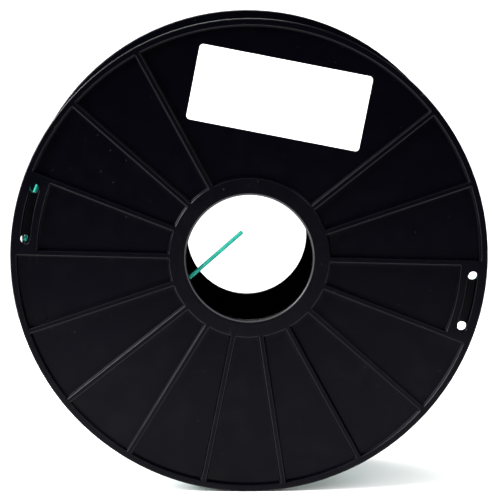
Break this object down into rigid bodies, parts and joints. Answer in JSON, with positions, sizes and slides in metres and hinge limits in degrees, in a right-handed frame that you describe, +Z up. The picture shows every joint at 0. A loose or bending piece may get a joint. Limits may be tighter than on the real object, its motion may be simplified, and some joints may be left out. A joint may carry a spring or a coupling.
{
  "type": "filament spool",
  "caption": "Ribbed black plastic spool wound with green printing filament, with a through bore, tie-off holes for the loose end and a blank label.",
  "frame": {"origin": "on the bore's axis, half way between the outer faces of the two flanges", "axes": "+Y along the bore from the labelled front flange to the rear flange, +Z up, +X to the right seen from the front"},
  "size_m": [0.1998, 0.074, 0.1998],
  "materials": {
    "flange_plastic": "moulded black polystyrene, satin",
    "barrel_plastic": "moulded black polystyrene, satin",
    "filament": "translucent green, extruded, glossy",
    "label": "blank white label, smooth"
  },
  "bodies": {
    "root": {"front_flange": "flange_plastic", "rear_flange": "flange_plastic", "hub_barrel": "barrel_plastic", "filament_winding": "filament", "filament_tail": "filament", "filament_loose_end": "filament", "front_label": "label"}
  },
  "joints": []
}
